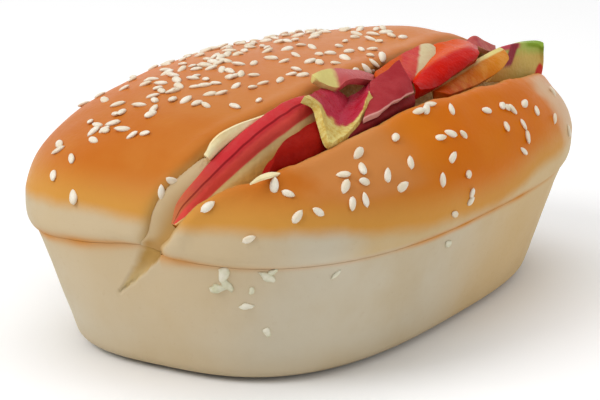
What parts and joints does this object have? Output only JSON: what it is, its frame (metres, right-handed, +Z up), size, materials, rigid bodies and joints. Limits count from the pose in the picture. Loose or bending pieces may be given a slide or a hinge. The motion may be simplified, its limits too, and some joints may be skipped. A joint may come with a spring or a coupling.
{
  "type": "novelty bun telephone",
  "caption": "Clamshell telephone shaped as a filled sesame bun; the hinged crown lifts to bare a push-button keypad, earpiece and microphone.",
  "frame": {"origin": "middle of the non-slip ring's underside, on the surface the telephone stands on", "axes": "+X along the bun's length, -Y its front, +Y the hinged back, +Z up"},
  "size_m": [0.145, 0.0987, 0.06],
  "materials": {
    "cream_crust": "soft matt moulded shell",
    "browned_crust": "glazed moulded shell",
    "crumb": "matt moulded crumb",
    "sesame": "satin moulded seeds",
    "apple": "glazed moulded slice",
    "cheese": "glazed moulded flake",
    "ham": "glazed moulded slice",
    "leaf": "glazed moulded leaf",
    "pepper": "glazed moulded slice",
    "carrot": "glazed moulded slice",
    "cucumber": "glazed moulded slice",
    "inner_plastic": "fine textured moulding",
    "key_plastic": "smooth moulding",
    "dark_plastic": "matt moulding",
    "dark_rubber": "matt rubber",
    "steel": "zinc-plated",
    "iron": "as cast",
    "brass": "bright",
    "board": "coated laminate"
  },
  "bodies": {
    "base": {"lower_shell": "cream_crust", "base_plate": "inner_plastic", "base_screws": "steel", "non_slip_ring": "dark_rubber", "keypad_panel": "inner_plastic", "panel_screws": "steel", "main_board": "board", "board_screws": "steel", "board_components": "dark_plastic", "key_membrane": "dark_rubber", "hook_switch": "dark_plastic", "hook_spring": "steel", "microphone_boot": "dark_rubber", "microphone": "steel", "ringer_holder": "inner_plastic", "ringer_disc": "brass", "ballast_weight": "iron", "line_jack": "dark_plastic", "jack_contacts": "brass", "ringer_switch": "dark_plastic", "tone_switch": "dark_plastic", "hinge_pin": "steel"},
    "lid": {"crust_shell": "browned_crust", "filling_tray": "crumb", "lid_liner": "inner_plastic", "lid_screws": "steel", "receiver_gasket": "dark_rubber", "earpiece_receiver": "steel", "sesame_seeds": "sesame", "cheese_flake": "cheese", "apple_slice": "apple", "rear_leaf": "leaf", "cucumber_slice": "cucumber", "ham_slice": "ham", "leaf_fold": "leaf", "pepper_slice": "pepper", "ham_fold": "ham", "carrot_bar": "carrot"},
    "key_1": {"key_1": "key_plastic"},
    "key_2": {"key_2": "key_plastic"},
    "key_3": {"key_3": "key_plastic"},
    "key_4": {"key_4": "key_plastic"},
    "key_5": {"key_5": "key_plastic"},
    "key_6": {"key_6": "key_plastic"},
    "key_7": {"key_7": "key_plastic"},
    "key_8": {"key_8": "key_plastic"},
    "key_9": {"key_9": "key_plastic"},
    "key_star": {"key_star": "key_plastic"},
    "key_0": {"key_0": "key_plastic"},
    "key_hash": {"key_hash": "key_plastic"},
    "key_redial": {"key_redial": "key_plastic"},
    "key_flash": {"key_flash": "key_plastic"},
    "hook_plunger": {"hook_plunger": "key_plastic"},
    "ringer_slider": {"ringer_slider": "dark_plastic"},
    "tone_slider": {"tone_slider": "dark_plastic"}
  },
  "joints": [
    {"name": "lid_hinge", "type": "hinge", "parent": "base", "child": "lid", "pos_m": [0, 0.0495, 0.02665], "axis": [-1, 0, 0], "range_deg": [0, 125]},
    {"name": "hook_slide", "type": "slide", "parent": "base", "child": "hook_plunger", "axis": [0, 0, 1], "range_m": [0, 0.003], "deforming": ["hook_spring"]},
    {"name": "key_1_press", "type": "slide", "parent": "base", "child": "key_1", "axis": [0, 0, -1], "range_m": [0, 0.0012], "stiffness_N_per_m": 300, "deforming": ["key_membrane"]},
    {"name": "key_2_press", "type": "slide", "parent": "base", "child": "key_2", "axis": [0, 0, -1], "range_m": [0, 0.0012], "stiffness_N_per_m": 300, "deforming": ["key_membrane"]},
    {"name": "key_3_press", "type": "slide", "parent": "base", "child": "key_3", "axis": [0, 0, -1], "range_m": [0, 0.0012], "stiffness_N_per_m": 300, "deforming": ["key_membrane"]},
    {"name": "key_4_press", "type": "slide", "parent": "base", "child": "key_4", "axis": [0, 0, -1], "range_m": [0, 0.0012], "stiffness_N_per_m": 300, "deforming": ["key_membrane"]},
    {"name": "key_5_press", "type": "slide", "parent": "base", "child": "key_5", "axis": [0, 0, -1], "range_m": [0, 0.0012], "stiffness_N_per_m": 300, "deforming": ["key_membrane"]},
    {"name": "key_6_press", "type": "slide", "parent": "base", "child": "key_6", "axis": [0, 0, -1], "range_m": [0, 0.0012], "stiffness_N_per_m": 300, "deforming": ["key_membrane"]},
    {"name": "key_7_press", "type": "slide", "parent": "base", "child": "key_7", "axis": [0, 0, -1], "range_m": [0, 0.0012], "stiffness_N_per_m": 300, "deforming": ["key_membrane"]},
    {"name": "key_8_press", "type": "slide", "parent": "base", "child": "key_8", "axis": [0, 0, -1], "range_m": [0, 0.0012], "stiffness_N_per_m": 300, "deforming": ["key_membrane"]},
    {"name": "key_9_press", "type": "slide", "parent": "base", "child": "key_9", "axis": [0, 0, -1], "range_m": [0, 0.0012], "stiffness_N_per_m": 300, "deforming": ["key_membrane"]},
    {"name": "key_star_press", "type": "slide", "parent": "base", "child": "key_star", "axis": [0, 0, -1], "range_m": [0, 0.0012], "stiffness_N_per_m": 300, "deforming": ["key_membrane"]},
    {"name": "key_0_press", "type": "slide", "parent": "base", "child": "key_0", "axis": [0, 0, -1], "range_m": [0, 0.0012], "stiffness_N_per_m": 300, "deforming": ["key_membrane"]},
    {"name": "key_hash_press", "type": "slide", "parent": "base", "child": "key_hash", "axis": [0, 0, -1], "range_m": [0, 0.0012], "stiffness_N_per_m": 300, "deforming": ["key_membrane"]},
    {"name": "key_redial_press", "type": "slide", "parent": "base", "child": "key_redial", "axis": [0, 0, -1], "range_m": [0, 0.0012], "stiffness_N_per_m": 300, "deforming": ["key_membrane"]},
    {"name": "key_flash_press", "type": "slide", "parent": "base", "child": "key_flash", "axis": [0, 0, -1], "range_m": [0, 0.0012], "stiffness_N_per_m": 300, "deforming": ["key_membrane"]},
    {"name": "ringer_slide", "type": "slide", "parent": "base", "child": "ringer_slider", "axis": [1, 0, 0], "range_m": [0, 0.004]},
    {"name": "tone_slide", "type": "slide", "parent": "base", "child": "tone_slider", "axis": [1, 0, 0], "range_m": [0, 0.004]}
  ],
  "couplings": [
    {"joint": "hook_slide", "follows": "lid_hinge", "m_per_rad": 0.0013737}
  ]
}
